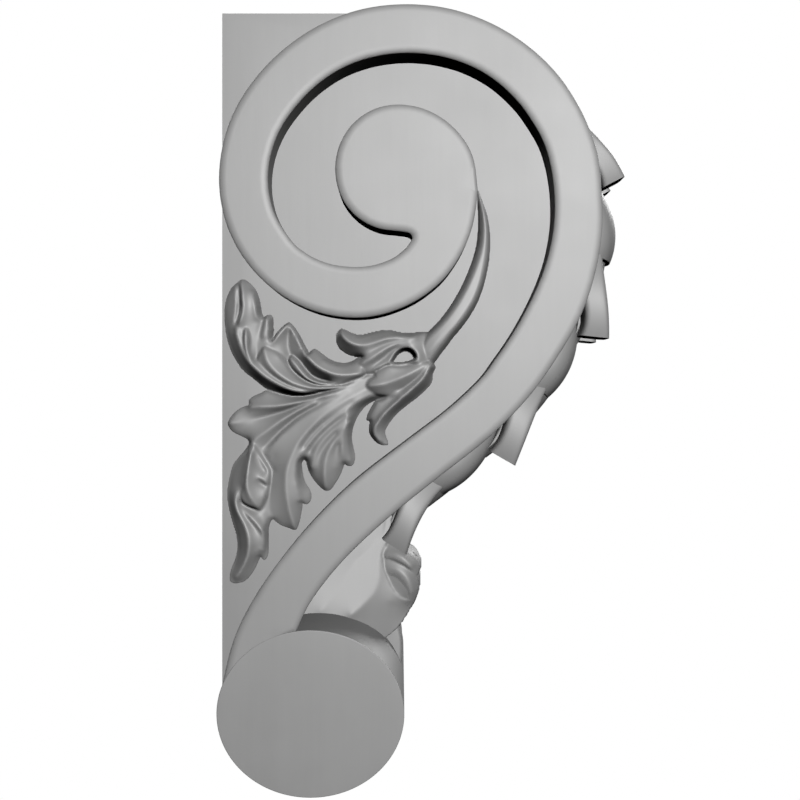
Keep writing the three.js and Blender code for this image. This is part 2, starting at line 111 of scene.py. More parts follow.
class Shells:
    # gathers closed shells and turns them into one mesh piece
    def __init__(self):
        self.points = []
        self.faces = []

    def add(self, points, faces):
        points = np.asarray(points, float)
        start = len(self.points)
        tri = [(f[0], f[k], f[k + 1]) for f in faces for k in range(1, len(f) - 1)]
        a, b, c = (points[[t[k] for t in tri]] for k in range(3))
        inward = np.einsum("ij,ij->i", a, np.cross(b, c)).sum() < 0
        self.points.extend(points.tolist())
        for f in faces:
            f = [start + v for v in f]
            self.faces.append(f[::-1] if inward else f)

    def rings(self, rings):
        # a closed shell through rings with the same number of points
        rings = np.asarray(rings, float)
        count, size = rings.shape[:2]
        faces = []
        for i in range(count - 1):
            for j in range(size):
                k = (j + 1) % size
                a, b = i * size, (i + 1) * size
                faces.append((a + j, a + k, b + k, b + j))
        points = [*rings.reshape(-1, 3), rings[0].mean(0), rings[-1].mean(0)]
        first, last = count * size, count * size + 1
        for j in range(size):
            k = (j + 1) % size
            faces.append((first, k, j))
            faces.append((last, last - size - 1 + j, last - size - 1 + k))
        self.add(points, faces)

    def plate(self, outline, halfWidth, reach, depth, rows, spacing):
        # an outline of the side as a plate across the middle, its faces falling off at the edges
        freeShare = 0.93   # spots of a row that come closer to another edge than this are left out
        p = np.asarray(outline, float)
        size = len(p)
        along = np.roll(p, -1, 0) - np.roll(p, 1, 0)
        along /= np.linalg.norm(along, axis=1)[:, None]
        area = (p[:, 0] * np.roll(p[:, 1], -1) - p[:, 1] * np.roll(p[:, 0], -1)).sum()
        inward = np.stack([-along[:, 1], along[:, 0]], 1) * np.sign(area)
        spots = []
        for turn in np.linspace(0, math.pi / 2, rows + 1)[1:]:
            inset = reach * (1 - math.cos(turn))
            q = p + inward * inset
            spots.append(q[distanceInside(p, q[:, 0], q[:, 1]) > inset * freeShare])
        x, z = np.meshgrid(*(np.arange(p[:, k].min(), p[:, k].max(), spacing) for k in (0, 1)))
        x[::2] += spacing / 2
        q = np.stack([x.ravel(), z.ravel()], 1)
        spots.append(q[distanceInside(p, q[:, 0], q[:, 1]) > reach + spacing / 2])
        flat = np.vstack([p, *spots])
        edges = [(j, (j + 1) % size) for j in range(size)]
        insideOnly, mergeDistance = 1, 1e-7
        corners = [Vector(v) for v in flat.tolist()]
        made = delaunay_2d_cdt(corners, edges, [], insideOnly, mergeDistance)
        flat = np.array([tuple(v) for v in made[0]])
        s = np.clip(1 - distanceInside(p, flat[:, 0], flat[:, 1]) / reach, 0, 1)
        face = halfWidth - depth * (1 - np.sqrt(1 - s * s))
        count = len(flat)
        front = np.stack([flat[:, 0], -face, flat[:, 1]], 1)
        back = np.stack([flat[:, 0], face, flat[:, 1]], 1)
        faces = [tuple(f) for f in made[2]]
        sides = dict.fromkeys((f[k], f[(k + 1) % 3]) for f in faces for k in range(3))
        walls = [(b, a, a + count, b + count) for a, b in sides if (b, a) not in sides]
        behind = [tuple(v + count for v in f[::-1]) for f in faces]
        self.add(np.vstack([front, back]), faces + behind + walls)

    def piece(self, name, material, crease=38, flatFaces=False):
        mesh = bpy.data.meshes.new(name)
        mesh.from_pydata(self.points, [], self.faces)
        mesh.validate()
        mesh.shade_smooth()
        mesh.set_sharp_from_angle(angle=math.radians(crease))
        mesh.materials.append(material)
        made = bpy.data.objects.new(name, mesh)
        bpy.context.scene.collection.objects.link(made)
        made.visible_diffuse = False   # the photograph shows no bounced light
        made.visible_glossy = False
        if flatFaces:
            weigh = made.modifiers.new("flat faces stay flat", "WEIGHTED_NORMAL")
            weigh.weight = 100
            weigh.keep_sharp = True
        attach(made, "root")
        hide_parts("corbel")
        print(name, len(self.faces), "faces")


class Socket:
    # wraps an output socket, so that maths on it reads as an expression
    def __init__(self, nodes, out):
        self.nodes = nodes
        self.out = out

    def maths(self, operation, a, b=0.0):
        return self.nodes.node("ShaderNodeMath", {"operation": operation}, {0: a, 1: b})

    def __add__(self, other):
        return self.maths("ADD", self, other)

    def __mul__(self, other):
        return self.maths("MULTIPLY", self, other)

    def __sub__(self, other):
        return self.maths("SUBTRACT", self, other)


class Nodes:
    def __init__(self, name):
        self.material = bpy.data.materials.new(name)
        self.material.use_nodes = True
        self.tree = self.material.node_tree
        self.tree.nodes.clear()

    def node(self, kind, settings=None, values=None, out=0):
        made = self.tree.nodes.new(kind)
        for key, value in (settings or {}).items():
            if key == "stops":
                ramp = made.color_ramp.elements
                for stop, (place, colour) in zip(ramp, value):
                    stop.position = place
                    stop.color = colour
            else:
                setattr(made, key, value)
        for key, value in (values or {}).items():
            if isinstance(value, Socket):
                self.tree.links.new(value.out, made.inputs[key])
            else:
                made.inputs[key].default_value = value
        return Socket(self, made.outputs[out])

    def finish(self, shader):
        end = self.tree.nodes.new("ShaderNodeOutputMaterial")
        self.tree.links.new(shader.out, end.inputs["Surface"])
        return self.material


primedWood = {
    "light": (0.402, 0.402, 0.400, 1),
    "dark": (0.366, 0.366, 0.364, 1),
    "toneRange": (0.3, 0.7),   # the tones where the dark ends and where the light begins
    "mottleShare": 0.7,        # of the mottle in the tone, the grain has the rest
    "mottleScale": 28.0,
    "roughness": 0.6,
    "roughnessSpread": 0.1,
    "refraction": 1.85,
    "sheen": 1.0,
    "grainSize": 0.9,          # mm between pores across the grain
    "grainStretch": 14,        # how much longer the pores are up the grain
    "grainDepth": 0.05,        # mm
    "toolMarkDepth": 0.03,
    "toolMarkScale": 160.0,
}


def makePrimedWood(p):
    # grey primer over close-grained carved wood: the grain just shows through
    n = Nodes("greyPrimedWood")
    place = n.node("ShaderNodeTexCoord", out="Object")
    across = 1000 / p["grainSize"] / 4   # with its detail, the noise has about four pores a step
    grainPlace = n.node("ShaderNodeMapping", values={
        "Vector": place, "Scale": (across, across, across / p["grainStretch"])})
    grain = n.node("ShaderNodeTexNoise", values={
        "Vector": grainPlace, "Scale": 1.0, "Detail": 4.0, "Roughness": 0.6})
    mottle = n.node("ShaderNodeTexNoise", values={
        "Vector": place, "Scale": p["mottleScale"], "Detail": 3.0, "Roughness": 0.5})
    strokes = n.node("ShaderNodeTexNoise", values={
        "Vector": place, "Scale": p["toolMarkScale"], "Detail": 2.0, "Roughness": 0.5})
    tone = mottle * p["mottleShare"] + grain * (1 - p["mottleShare"])
    stops = list(zip(p["toneRange"], (p["dark"], p["light"])))
    colour = n.node("ShaderNodeValToRGB", {"stops": stops}, {"Fac": tone})
    rough = (mottle - 0.5) * p["roughnessSpread"] + p["roughness"]
    bump = n.node("ShaderNodeBump", values={
        "Height": grain, "Distance": p["grainDepth"] / 1000, "Strength": 0.6})
    bump = n.node("ShaderNodeBump", values={
        "Height": strokes, "Distance": p["toolMarkDepth"] / 1000, "Strength": 0.5,
        "Normal": bump})
    shader = n.node("ShaderNodeBsdfPrincipled", values={
        "Base Color": colour, "Roughness": rough, "Normal": bump,
        "Specular IOR Level": p["sheen"], "IOR": p["refraction"]})
    return n.finish(shader)


wood = makePrimedWood(primedWood)
print("material ready")


def everyTurn(start, shares, step=14):
    # an angle and the share of the reach there, every so many degrees
    return [(start - step * k, share) for k, share in enumerate(shares)]


# The scroll, by angles in degrees round its centre and shares of its reach, and in percent
scroll = {
    "centre": [48.1, 28.9],
    "reach": [47.6, 20.6],
    "outer": everyTurn(342, [
        0.428, 0.466, 0.531, 0.618, 0.725, 0.831, 0.925, 0.984, 1.013, 1.02, 1.016, 1.004, 0.99,
        0.981, 0.973, 0.975, 0.986, 0.999, 1.005]),
    "top": everyTurn(76, [1.01, 1.01, 1.012, 1.019, 1.031]) + [(8, 1.053)],
    "inner": [
        *everyTurn(272, [0.484, 0.542, 0.589, 0.63, 0.664, 0.696, 0.721, 0.738], step=7),
        *everyTurn(216, [0.746, 0.747, 0.737, 0.722, 0.707, 0.694, 0.693, 0.698, 0.702, 0.707,
                         0.715, 0.726, 0.736, 0.746]),
        (23, 0.758), (13, 0.779), (4, 0.796)],
    "side": [
        (86.9, 27.4), (87.3, 24.9), (87.2, 22.4), (86.5, 19.9), (85.3, 17.4), (83.5, 14.9), (81.2, 12.4),
        (78.5, 9.9), (75.4, 7.4), (71.8, 4.9)],
    "hook": [(276, 0.44), (277, 0.415), (274, 0.39)],
    "eye": everyTurn(265, [
        0.38, 0.386, 0.386, 0.382, 0.376, 0.369, 0.367, 0.369, 0.375, 0.384, 0.392, 0.397, 0.395,
        0.389, 0.382, 0.376, 0.374, 0.378, 0.386]) + [(0, 0.395)],
    "front": [
        (99, 28.9), (99.4, 26.4), (99.6, 21.2), (97.5, 15.3), (93.7, 10.1), (87.5, 4.9), (80, -0.1),
        (69.7, -5.1), (56.4, -10.2), (43.8, -15.2), (32.9, -20.2), (24.7, -25.2), (20.6, -29.2)],
    "back": [
        (88, 23.4), (86, 18.7), (81.3, 12.4), (75.4, 7.4), (67.9, 2.4), (59.7, -1.3), (49.4, -5.1),
        (35.8, -10.2), (25.2, -15.2), (16.5, -20.2), (9.5, -25.2), (4.4, -30.3), (1.3, -36.3)],
    "foot": (16, -34),
    "topFront": [(50, 50), (62, 48.4)],
    "middle": 0.87,        # where the block ends behind the rim
    "rollCentre": (24.3, -39.5),
    "rollReach": (24.2, 10.5),
    "outerSteps": 10,      # facets from one point of the outside to the next
    "innerPoints": 321,    # points along the whole inside, round the eye and round the roll
    "eyePoints": 131,
    "rollPoints": 160,
}


def aroundScroll(turns):
    t = np.array(turns, float)
    a = np.radians(t[:, 0])
    (x, z), (reachX, reachZ) = scroll["centre"], scroll["reach"]
    return drawn(np.stack([x + reachX * t[:, 1] * np.cos(a), z + reachZ * t[:, 1] * np.sin(a)], 1))


outerTurn = aroundScroll(scroll["outer"])
outerPoints = np.vstack([outerTurn, aroundScroll(scroll["top"]), drawn(scroll["front"])])
outerLine = spline(outerPoints, (len(outerPoints) - 1) * scroll["outerSteps"] + 1)
frontLine = outerLine[len(outerTurn) * scroll["outerSteps"]:][::-1]


# The block behind the rim, the rim with its eye, and the roll at the foot
def makeBody():
    lowerBack = scroll["back"][4:]   # the side line stands in for its first four points
    innerPoints = np.vstack([aroundScroll(scroll["inner"]), drawn(scroll["side"] + lowerBack)])
    inner = spline(innerPoints, scroll["innerPoints"])[::-1]
    eye = spline(aroundScroll(scroll["hook"] + scroll["eye"]), scroll["eyePoints"])
    foot = drawn([scroll["foot"]])
    rim = Shells()
    rim.plate(np.vstack([inner, eye, outerLine, foot]), rimFace - bracket["rollProud"],
              bracket["rimFallWidth"], bracket["rimFall"], rows=8, spacing=bracket["rimFacet"])
    rim.piece("scroll_rim", wood, flatFaces=True)

    top = drawn(scroll["topFront"])
    under = aroundScroll([(angle, share * scroll["middle"]) for angle, share in scroll["top"]])
    behind = (drawn(scroll["front"]) + drawn(scroll["back"])) / 2
    wallFoot = [0, drawn([scroll["rollCentre"]])[0, 1]]
    outline = np.vstack([[wallFoot], [[0, top[0, 1]]], top, under, behind])
    block = Shells()
    rounding = bracket["blockRounding"]
    block.plate(outline, fieldFace, rounding, rounding, rows=2, spacing=bracket["blockFacet"])
    block.piece("block", wood, flatFaces=True)

    centre, reach = drawn([scroll["rollCentre"], scroll["rollReach"]])
    turns = np.linspace(0, 2 * math.pi, scroll["rollPoints"] + 1)[:-1]
    circle = centre + reach * np.stack([np.cos(turns), np.sin(turns)], 1)
    roll = Shells()
    rounding = bracket["rollRounding"]
    roll.plate(circle, rimFace, rounding, rounding, rows=3, spacing=bracket["rollFacet"])
    roll.piece("foot_roll", wood, flatFaces=True)


makeBody()

# The carving is drawn as the eye sees it from the side, in steps of a drawing, x to the right
# and y down. What lies deeper looks smaller there
sideDrawing = {
    "middle": (402, 400),    # straight before the eye
    "place": (82.06, -0.5),  # x and z of that point, in mm
    "step": 0.446,           # mm in one step, on the face of the rim
    "eye": 495.5,            # mm from that face to the eye
}


def fromDrawing(points, depth):
    # x and z in mm, and the height if there is one; heights are counted from a face so far down
    p = np.array(points, float)
    height = p[:, 2] if p.shape[1] > 2 else 0
    step = sideDrawing["step"] * (1 + (depth - height) / sideDrawing["eye"])
    (u, v), (x, z) = sideDrawing["middle"], sideDrawing["place"]
    return np.column_stack([x + (p[:, 0] - u) * step, z + (v - p[:, 1]) * step, p[:, 2:]])


# A skin is drawn tight over the edge and the lines of each layer of a relief
skin = {
    "edgeSteps": 6,        # from one point of an edge to the next
    "lineSteps": 8,
    "cellSteps": 3,        # places marked in each facet that a line crosses
    "lineWeight": 20,      # of a line against the edge, where both cross a facet
    "passes": 300,
    "pull": 1.9,           # over 1, so that the skin settles sooner
    "border": 1.5,         # facets past the edge that hold it
    "fallBorder": 2.5,     # facets past the edge where it falls to the root
    "laid": 0.01,          # mm over the root from which a facet belongs to the relief
}

# The carved sides are one relief each, laid up in layers, the lowest first. A layer has its edge
# and the crests and hollows in it, as x and y of the drawing and the height over the sunk face
# in mm, and sizes of its own where they differ
carving = {
    "face": bracket["sideRelief"] * 1000,   # mm from the rim down to the sunk face
    "cell": 0.42,          # size of the facets
    "depth": 2.0,          # how much the crests and hollows are cut stronger than drawn
    "broadForm": 90,       # passes of smoothing that give the broad form of a layer
    "softness": 5,         # passes of smoothing on the finished cuts
    "blending": 2,         # passes of smoothing over the joints of the layers
    "shoulder": 1.8,       # width of the rounding along an edge
    "upright": 0.35,       # share of a layer's edge that stands upright
    "fall": 6.0,           # steepness of the edges
    "root": 2.0,           # how deep the relief is let into the block
    "backing": 1.0,        # how much deeper its closed back lies
    "highest": 16.2,
    "holeFloor": -0.4,
    "holeWall": 12,        # steepness of the wall of a hole
}
carvedLayers = {}
carvedLayers["lowerBlade"] = dict(depth=1.7, edge=[
    (269, 391, 3), (262, 393.5, 3), (255, 396.5, 3), (250.5, 400, 3), (250, 405, 3), (243, 408, 2.5),
    (237, 412, 2.5), (232, 418, 2.5), (229.5, 423.5, 2.5), (232, 429, 2), (236, 432.5, 2), (241, 435, 2),
    (246, 437.5, 2), (249.5, 440, 2), (250.5, 444, 2), (246, 451, 1.5), (240, 458, 1.5), (235, 465, 1),
    (232, 475, 1), (230, 485, 0.5), (229, 494, 0.5), (230, 504, 0.5), (232, 514, 0.5), (235, 525, 0.5),
    (238, 535, 0.5), (239, 545, 0.5), (238.5, 553, 0.5), (236, 562, 0.5), (233, 570, 1), (231.5, 578, 1),
    (232.5, 582, 1), (237, 583.5, 1), (245, 582, 1), (251, 577, 1.5), (256, 570, 1.5), (260, 562, 1.5),
    (262, 557, 2), (264, 559, 1.5), (267, 560, 1.5), (269.5, 556, 1.5), (270.5, 548, 1.5), (270, 538, 1.5),
    (270.5, 528, 2), (272, 522, 2), (274.5, 519.5, 2), (278, 522, 1.5), (283, 525.5, 1.5), (290, 528, 1.5),
    (296, 530, 2), (298.5, 529, 2), (301, 522, 2), (303, 513, 2), (304, 505, 2.5), (303.5, 503, 3),
    (308, 504.5, 2), (311.5, 502, 2), (313, 497, 2), (312, 491, 2), (309, 486, 2), (306, 480, 2),
    (304, 470, 2), (303.5, 463, 2), (305.5, 460, 2), (307.5, 461, 2), (309, 466, 2), (311, 472, 2),
    (315, 479, 2), (320, 485, 2), (325, 489.5, 2), (329, 491, 2), (333, 489, 2), (338, 482, 2),
    (342, 475, 2), (345, 467, 2.5), (346, 464, 3), (349, 465.5, 2), (353, 466, 2), (356, 463, 1.5),
    (357, 456, 1.5), (355.5, 448, 1.5), (354, 440, 1.5), (354, 433, 1.5), (356, 425, 1.5), (360, 416, 1.5),
    (366, 408, 1.5), (372, 403, 2), (378, 400, 3), (388, 399, 5), (396, 392, 6.5), (398, 382, 7),
    (392, 374.5, 7), (380, 372, 6.8), (368, 373.5, 7), (356, 378.5, 7.6), (345, 385, 8.2), (330, 391, 8),
    (315, 395, 6), (300, 397.5, 4.5), (285, 395.5, 3.5),
], lines=[
    [(250.5, 406.5, 5), (262, 407, 6.8), (275, 406.7, 7.4), (288, 405, 8), (300, 402.3, 8.6),
     (315, 398.5, 9.5), (330, 394, 9.9), (350, 387, 9)],
    [(230.5, 423.5, 3.5), (240, 422.5, 3.6), (250, 420.5, 3.7), (262, 418, 3.8), (275, 414.5, 4.2),
     (288, 410.5, 5), (300, 406, 6.3), (312, 402, 7.9), (325, 397.5, 9)],
    [(251.5, 446, 5), (255, 441, 5.8), (262, 436, 6.4), (272, 429, 6.9), (282, 421.5, 7.3),
     (292, 415, 7.8), (303, 408.5, 8.6), (318, 402, 9.5)],
    [(266, 447, 4.4), (273, 441.5, 4.6), (279, 435, 4.9), (288, 426.5, 5.3), (299, 417.5, 6),
     (312, 409.5, 7.4), (326, 402, 8.8), (340, 395, 9.8)],
    [(271, 455, 5.3), (274.5, 446, 6.2), (281, 437.5, 6.8), (290, 429, 7.3), (301, 420, 8), (314, 412, 9),
     (330, 404, 9.8), (350, 393, 9.2)],
    [(276, 455, 5.6), (273.5, 465, 4.8), (272.5, 478, 4.4), (271.5, 492, 4.2), (271, 505, 3.8),
     (273, 516, 3)],
    [(297.5, 528, 3), (293, 515, 5.2), (289.5, 500, 7), (287.5, 485, 7.9), (288.5, 472, 8.3),
     (292, 460, 8.5), (299, 446, 8.8), (309, 432.5, 9.2), (321, 420, 9.8), (336, 408.5, 10),
     (352, 398, 9.6), (374, 386.5, 8)],
    [(305, 448, 6.9), (315, 434.5, 7.5), (327, 423.5, 8.2), (342, 412.5, 9.2), (356, 403, 8.6)],
    [(301, 500, 5), (299.5, 488, 6.2), (298.5, 475, 6.8), (301, 460, 7.3), (308, 446.5, 7.9),
     (318, 434, 8.5), (330, 423, 9.2), (345, 412, 9.5), (358, 403, 8.8), (376, 394.5, 7)],
    [(311, 452, 5.6), (317, 443, 6.6), (326, 433, 7.3), (338, 422.5, 8.1), (350, 413.5, 8.9)],
    [(313, 468, 5), (316, 457, 6.5), (320, 447, 7.3), (329, 436, 8.1), (340, 426, 8.8), (352, 416, 8.6)],
    [(321, 478, 4), (320, 465, 5.6), (323, 453, 6.3), (330, 443, 6.9), (339, 433, 7.5)],
    [(328.5, 489.5, 3), (327, 482, 5), (326.5, 474, 6.2), (327, 465, 7), (329, 455, 7.5), (334, 445, 8),
     (341, 434.5, 8.4), (347, 428, 8.7)],
    [(338, 468, 4.5), (338, 455, 5.8), (340.5, 444, 6.6)],
    [(346, 461, 4.5), (344.5, 450, 6.8), (345, 440, 7.7), (347, 431, 8.2), (352, 422, 8.3)],
    [(352, 462, 3.5), (351, 450, 4.6), (351, 440, 5.2), (352, 430, 5.6)],
    [(252.5, 449, 7), (251.5, 458, 8), (249, 467, 8.8), (247.5, 480, 9), (247, 488, 8.4)],
    [(258.8, 443, 5.6), (264, 453, 4.6), (270.5, 463, 4.2), (275, 471, 4.2)],
    [(242, 502, 4), (249, 508, 4), (258, 511, 4.2), (265, 512, 4.6)],
    [(239.5, 491, 6), (237.5, 497, 6.2), (238.5, 506, 6.6), (242, 515, 7.2), (247, 525, 7.8),
     (250.5, 537, 8.2), (251, 546, 8), (250, 555, 7), (247, 563, 6), (242, 572, 4.5), (237.5, 578, 3)],
    [(241.5, 502, 4.6), (244, 510, 5.2), (249.5, 518.5, 5.8), (257, 527, 6), (264.5, 535.5, 5.8),
     (268, 545, 4.8)],
    [(244.5, 507, 5.4), (251, 515.5, 6.8), (259, 524.5, 7.2), (266, 532.5, 6.8), (269, 541, 5)],
    [(257, 548, 5.6), (263, 549, 5), (267, 550, 4)],
    [(262, 518, 5), (268, 524, 4.6)],
])
carvedLayers["fold"] = dict(edge=[
    (253, 444, 7.5), (257, 443.5, 7.5), (260.8, 451, 7.2), (267, 461, 6.8), (272.3, 470, 6.6),
    (273.2, 478, 6.4), (271.8, 488, 6.2), (270, 497, 6.2), (266.5, 505, 6.2), (262, 511.5, 6.2),
    (256, 509.5, 6.8), (249, 507, 7), (243.5, 503, 7), (240.5, 497, 7), (240.5, 492, 7), (243, 484, 7),
    (245, 474, 7), (247.5, 463, 7), (250, 453, 7),
], lines=[
    [(252.5, 452, 9), (250.5, 462, 9.8), (248.8, 474, 10.4), (248.6, 486, 10.2), (252.5, 497, 9.4),
     (259, 506, 7.8)],
    [(256.5, 450, 7.2), (258.5, 458, 6.4), (263, 466, 6), (267.5, 472, 5.8)],
    [(261.5, 478, 8.2), (268.5, 483, 7.2)],
    [(261, 480.5, 6.8), (267.5, 485.8, 5.6)],
    [(264, 488, 7), (265.5, 496, 7.2), (263, 503, 7)],
])
carvedLayers["upperBlade"] = dict(edge=[
    (269, 391, 0.5), (256, 381, 0.5), (243, 370, 0.5), (233, 352, 0.8), (228, 335, 1), (226.3, 318, 1.5),
    (227, 303, 2), (231.5, 290, 2.5), (238, 283, 3), (244, 279, 3.5), (251, 283, 3.5), (257.5, 290, 2.5),
    (261.5, 300, 1), (264, 312, 0.5), (265.3, 317, 4), (268, 315, 4.5), (271, 314.7, 4.5),
    (273.8, 317, 3.5), (275.2, 323, 1.5), (275.2, 331, 1), (274, 339.5, 4), (277, 334, 5), (282, 328.5, 5),
    (287, 324, 5), (290.5, 322.5, 5), (295, 327, 4.5), (300, 335, 4), (305, 345, 4), (308, 350, 4.5),
    (310, 353.5, 6), (313, 350.5, 5), (316, 349, 4.5), (320, 351, 4.5), (325, 355, 4.5), (331, 359, 4.5),
    (338, 362, 4.5), (345, 363, 5), (352, 362, 5.5), (362, 358, 7), (366, 366, 9), (366, 376, 9),
    (345, 385, 8), (325, 392, 5), (300, 397.5, 0.5), (284, 395.5, 0.5),
], lines=[
    [(238.3, 288, 5), (239, 300, 6), (238.5, 312, 6), (236, 322, 5.6)],
    [(240.8, 285, 4), (241.2, 300, 4.4), (240.6, 312, 4.4), (237.8, 323, 4.6)],
    [(243.5, 283, 5.5), (244.2, 292, 8), (244.6, 303, 9), (244.2, 312, 9), (242, 321, 8.6),
     (240.5, 327, 7)],
    [(255.5, 291, 5.8), (258.8, 300, 7.2), (260.3, 309, 7.6), (260.8, 318, 7.2)],
    [(237.5, 329, 7.6), (241, 341, 8), (245.5, 352, 8.4), (253, 363, 9), (264, 374, 9.4), (278, 383, 9.6),
     (292, 389.5, 9.6), (306, 392.5, 9), (320, 391.5, 8)],
    [(236, 329, 5.5), (238.5, 332, 6.5)],
    [(266.5, 318.5, 5.6), (263.5, 328, 5.8), (262.3, 338, 6.2), (266, 343, 6.8)],
    [(268.5, 318, 6.6), (265.8, 328, 7), (265, 337, 7.2)],
    [(272.5, 319, 6.4), (273, 330, 6.6), (272, 338, 7)],
    [(258, 322, 6.8), (259, 335, 6.4), (259, 350, 6.2), (258, 360, 6)],
    [(274, 341, 7.4), (281, 333.5, 7.2), (289, 325, 6.4)],
    [(270, 345, 7), (280, 349, 6), (287, 354, 4.8)],
    [(290.5, 324, 5.5), (290, 335, 4.2), (290, 345, 3.8), (291.5, 353, 3.4), (298, 361, 2.6),
     (306, 371, 2), (316, 380, 1.5), (330, 384, 2)],
    [(292, 324.5, 6), (298.5, 333, 7.2), (304, 343.5, 8), (308, 351.5, 8.6), (310, 357, 9.4),
     (318, 365.5, 10), (326, 370.5, 10.3), (334, 373.8, 10.6), (345, 375, 10.8), (362, 374, 10.5)],
    [(313, 352, 6.5), (320, 356.5, 6.8), (330, 362, 7.2), (342, 366.5, 7.8)],
    [(325, 360, 8), (335, 366, 8.4), (346, 369.3, 8.8)],
])
carvedLayers["innerTongue"] = dict(edge=[
    (249, 324, 7), (245.5, 327.5, 7.4), (243.5, 333, 7.8), (242.8, 340, 8), (244, 349, 8.2),
    (248.5, 359, 8.6), (255, 367, 9), (262, 373, 9), (266, 371, 8), (260, 365, 7.4), (256.5, 358, 7),
    (254.2, 350, 6.6), (254.2, 340, 6.2), (253.2, 333, 6.2), (251.5, 327, 6.4),
], lines=[
    [(249, 326, 8.4), (247.8, 334, 9.6), (247.6, 345, 10), (250.5, 355, 10.2), (256, 364, 10),
     (262, 371, 9.4)],
    [(250.8, 330, 8.4), (251.6, 338, 9), (251.4, 348, 9), (253.4, 356, 9), (257, 362, 8.6)],
])
carvedLayers["middle"] = dict(depth=1.5, edge=[
    (266, 345, 7.6), (272, 347, 7.6), (280, 351, 7.4), (287, 358, 7), (289.5, 362.5, 7.6), (295, 371, 8),
    (303, 378, 8.6), (312, 383, 9), (325, 385.5, 9.4), (345, 384, 9.8), (360, 380, 10), (366, 378, 10),
    (350, 387.5, 9.6), (325, 391.5, 8.4), (306, 392.5, 8.4), (293, 389, 8.6), (281, 383, 8.6),
    (270, 375.5, 8.4), (262, 368.5, 8), (257, 361, 7.4), (261, 350.5, 7.4),
], lines=[
    [(266, 346.5, 9), (267.3, 355, 10.4), (270.5, 363.5, 11.2), (278, 372, 11.7), (289, 380, 11.8),
     (302, 385.8, 11.5), (318, 388.3, 10.8), (335, 387.3, 10.4), (355, 382, 10.4)],
    [(280, 355, 8.6), (285.5, 362.5, 8.4), (291, 371, 9)],
    [(299, 379, 9.8), (312, 384.5, 10)],
])
carvedLayers["nearTongue"] = dict(depth=1.4, edge=[
    (292.5, 355.3, 6.6), (297, 358, 6.6), (302, 363, 6.4), (307, 370, 6.4), (313, 376.8, 7),
    (322, 380.8, 7.6), (335, 382.3, 8.2), (350, 381, 9), (362, 377.5, 9.6), (366, 379, 10),
    (345, 384.5, 9.6), (325, 385.8, 8.6), (312, 383.5, 7.8), (303, 378.8, 7.2), (295, 372, 6.8),
    (290.8, 366.5, 6.6), (289.3, 360.5, 6.6),
], lines=[
    [(293.5, 357.5, 8.4), (298, 364.3, 9.4), (304, 372, 10), (312, 379, 10.4), (325, 383.6, 10.4),
     (345, 382.8, 10.6), (360, 379, 10.8)],
    [(297, 359.6, 7.6), (302, 366, 8.4), (309, 374.6, 9.2), (318, 380.3, 9.6)],
    [(298.5, 359.6, 8.2), (303.5, 365.6, 9), (310.5, 374.2, 9.8), (319, 379.8, 10)],
])
carvedLayers["calyxLong"] = dict(edge=[
    (384, 399, 7), (378, 401, 6), (375, 405, 5), (371, 412, 4), (368.5, 419, 3.5), (371, 421, 3.5),
    (372, 422, 4), (371, 430, 3), (373, 436, 3), (378, 442, 2.5), (384, 445, 2.5), (389, 445, 2.5),
    (390, 443, 2.5), (388, 437, 2.5), (387, 432, 2.5), (389, 427, 2), (393, 421, 2), (400, 413, 2),
    (410, 405, 2), (420, 397.5, 2), (428, 390, 2.5), (434, 382, 3), (435, 373, 5), (437, 366, 9),
    (430, 360, 12), (415, 366, 12), (400, 380, 10.5), (392, 392, 9),
], lines=[
    [(433, 366, 12), (428, 375, 12.2), (420, 384, 11.8), (410, 393, 11), (400, 401, 10.2), (391, 409, 9.2),
     (383, 417.5, 8.2), (377, 427, 6.8), (376, 434, 5.5), (382, 441.5, 4)],
    [(373, 417, 5), (378, 409.5, 6), (386, 402.5, 7), (394, 398, 7.8)],
    [(377.5, 422, 6), (383.5, 412.5, 7), (391, 405, 7.8), (399, 398.5, 8.6)],
    [(402, 391, 9), (412, 383, 10), (422, 374, 11.2)],
])
carvedLayers["calyxLower"] = dict(upright=0.85, edge=[
    (376, 377, 10), (371, 380, 9.6), (368, 385, 9.4), (368, 389, 9), (372, 392, 8.8), (378, 394.5, 8.8),
    (386, 395.8, 8.8), (394, 396.5, 8.6), (400, 393, 8.6), (410, 386.5, 10), (424, 376, 11.8),
    (432, 368, 12.5), (424, 361, 12.5), (413, 364, 11.6), (403, 366, 11.4), (391, 365.8, 11),
    (383, 368.5, 10), (378, 372, 9.6),
], lines=[
    [(370, 385.5, 10.6), (380, 385.3, 11.8), (390, 383, 12.2), (400, 379.3, 12.8), (410, 374.8, 13.2),
     (420, 369.5, 13.2), (428, 365, 13)],
    [(386, 374, 11), (395, 371.5, 11.6), (405, 369, 12)],
])
